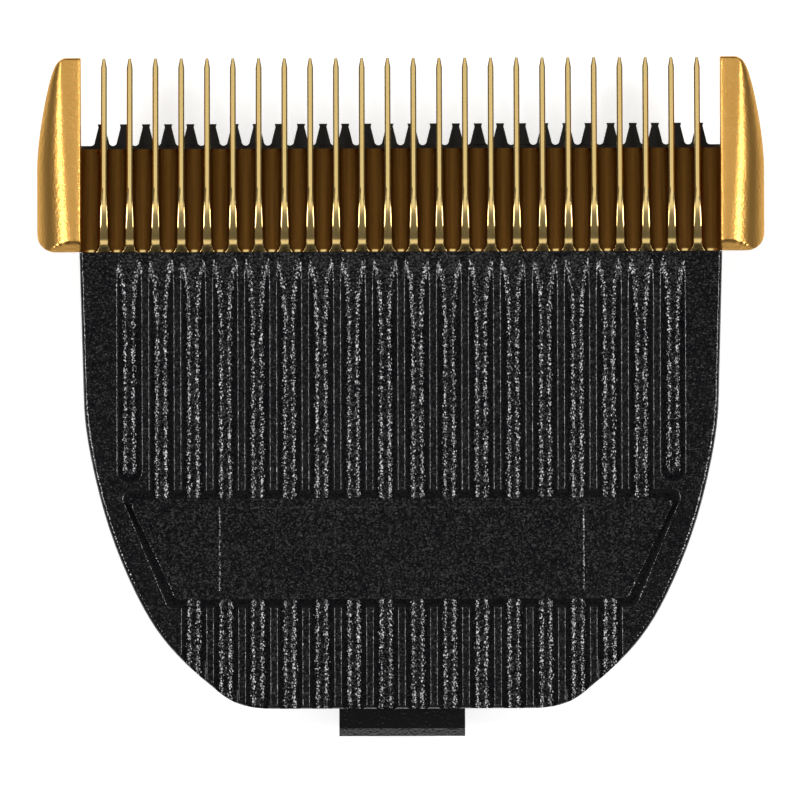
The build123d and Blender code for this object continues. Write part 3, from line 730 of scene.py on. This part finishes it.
def spring_path():
    """Points along the right spring's wire and its outward directions: hook, bend, leg, helix and tail."""
    turn = np.linspace(0, 2 * np.pi * coil_turns, turn_points * coil_turns + 1)
    away = np.stack([0 * turn, -np.sin(turn), -np.cos(turn)], axis=-1)
    along = coil_start + coil_length * turn / turn[-1]
    axis = np.stack([along, pivot_y + 0 * turn, pivot_z + 0 * turn], axis=-1)
    coil = axis + coil_radius * away
    heading = (coil[1] - coil[0]) * [1, 1, 0]
    heading = heading / np.linalg.norm(heading)
    bend = coil[0] - arm_leg * heading
    hook = bend - [hook_length, 0, 0]
    t = np.linspace(0, 1, bend_points)[:, None]
    before, after = bend - [hook_round, 0, 0], bend + hook_round * heading
    rounded = (1 - t) ** 2 * before + 2 * t * (1 - t) * bend + t ** 2 * after
    path = np.concatenate([[hook], rounded, coil, [coil[-1] + tail_leg * heading]])
    straight = np.tile([0.0, 0.0, -1.0], (len(rounded) + 1, 1))
    return path, np.concatenate([straight, away, straight[:1]])


def spring_points(side):
    """A round wire: a ring of points about each point of the path, square to its direction."""
    path, away = spring_path()
    across = np.cross(np.gradient(path, axis=0), away)
    across = across / np.linalg.norm(across, axis=1, keepdims=True)
    ring = np.linspace(0, 2 * np.pi, wire_sides, endpoint=False)[None, :, None]
    offset = np.cos(ring) * away[:, None] + np.sin(ring) * across[:, None]
    return (path[:, None] + wire_radius * offset) * [side, 1, 1]


for side, name in ((1, "right"), (-1, "left")):
    shell = closed_tube(spring_points(side))
    spring = make_piece(name + "_spring", [shell], "spring_steel", None, name + "_torsion_spring")
    start = (side * coil_start * MM, pivot_y * MM, pivot_z * MM)
    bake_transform(spring)

# %% [markdown]
# ## Camera, floor and light
# The camera looks straight down on the front face from a metre away, through a long lens, so
# that nothing leans.

# %% Camera
scene = bpy.context.scene
scene.view_settings.view_transform = "Standard"
camera_height = 1.0
face_height = 11 * MM
shown_width = 50.62 * MM
camera = bpy.data.objects.new("camera", bpy.data.cameras.new("camera"))
bpy.context.collection.objects.link(camera)
camera.location = (-0.082 * MM, -0.158 * MM, face_height + camera_height)
camera.rotation_euler = (0, 0, math.radians(-0.17))
camera.data.sensor_width = 36.0
camera.data.lens = camera.data.sensor_width * camera_height / shown_width
camera.data.clip_start = 0.01
scene.camera = camera
print("lens:", round(camera.data.lens, 1))

# %% [markdown]
# The head lies on a sheet of pale paper. The paper takes the shadow like any other surface. For
# rays from the camera, and for reflections of the paper, it also glows a little, so that it
# comes out white without brighter lamps.

# %% Floor
floor_half = 1.5
paper_glow = 0.68
corners = [(x * floor_half, y * floor_half, 0) for x, y in ((-1, -1), (1, -1), (1, 1), (-1, 1))]
floor_mesh = bpy.data.meshes.new("floor")
floor_mesh.from_pydata(corners, [], [(0, 1, 2, 3)])
floor = bpy.data.objects.new("floor", floor_mesh)
bpy.context.collection.objects.link(floor)
paper = bpy.data.materials.new("paper")
paper.use_nodes = True
tree = paper.node_tree
tree.nodes.clear()
fibre = noise(tree, own_place(tree), 2 * MM)
pale = blend_colours(tree, fibre, (0.78, 0.78, 0.78), (0.80, 0.80, 0.80))
sheet = shade(tree, "ShaderNodeBsdfDiffuse", Color=pale)
rays = tree.nodes.new("ShaderNodeLightPath").outputs
seen = combine(tree, "MAXIMUM", rays["Is Camera Ray"], rays["Is Glossy Ray"])
seen = combine(tree, "MAXIMUM", seen, rays["Is Transmission Ray"])
glow = shade(
    tree, "ShaderNodeEmission", Color=(1, 1, 1, 1), Strength=spread(tree, seen, 0.0, paper_glow)
)
both = tree.nodes.new("ShaderNodeAddShader")
feed(tree, both.inputs[0], sheet.outputs["BSDF"])
feed(tree, both.inputs[1], glow.outputs["Emission"])
shade(tree, "ShaderNodeOutputMaterial", Surface=both.outputs["Shader"])
floor_mesh.materials.append(paper)
print("floor:", 2 * floor_half, "m wide")

# %% [markdown]
# Two soft boxes stand left and right of the camera, and draw the double lines in the grooves. One
# stands beyond the teeth and one on the side of the tail. Straight above stays dark, so that the
# flat faces do too. A low card lights the guards' feet.

# %% Lights
def soft_box(name, place, width, height, power):
    """A rectangular light that faces the middle of the head."""
    data = bpy.data.lights.new(name, "AREA")
    data.shape = "RECTANGLE"
    data.size = width
    data.size_y = height
    data.energy = power
    lamp = bpy.data.objects.new(name, data)
    bpy.context.collection.objects.link(lamp)
    lamp.location = place
    away = np.array(place) - np.array((0, 0, face_height))
    flat = math.hypot(away[0], away[1])
    lamp.rotation_euler = (math.atan2(flat, away[2]), 0, math.atan2(away[0], -away[1]))
    return lamp


lamps = [
    soft_box("left_box", (-0.47, 0.0, 0.72), 0.36, 0.18, 2.6),
    soft_box("right_box", (0.47, 0.0, 0.72), 0.36, 0.18, 2.6),
    soft_box("tooth_box", (0.0, 0.24, 0.75), 0.50, 0.25, 0.34),
    soft_box("front_box", (0.0, -0.23, 0.75), 0.50, 0.20, 0.26),
    soft_box("low_card", (0.0, -0.60, 0.09), 0.50, 0.12, 0.03),
]
world = bpy.data.worlds.new("studio")
scene.world = world
world.use_nodes = True
background = world.node_tree.nodes["Background"]
background.inputs["Color"].default_value = (1, 1, 1, 1)
background.inputs["Strength"].default_value = 0.10
print("lamps:", len(lamps))
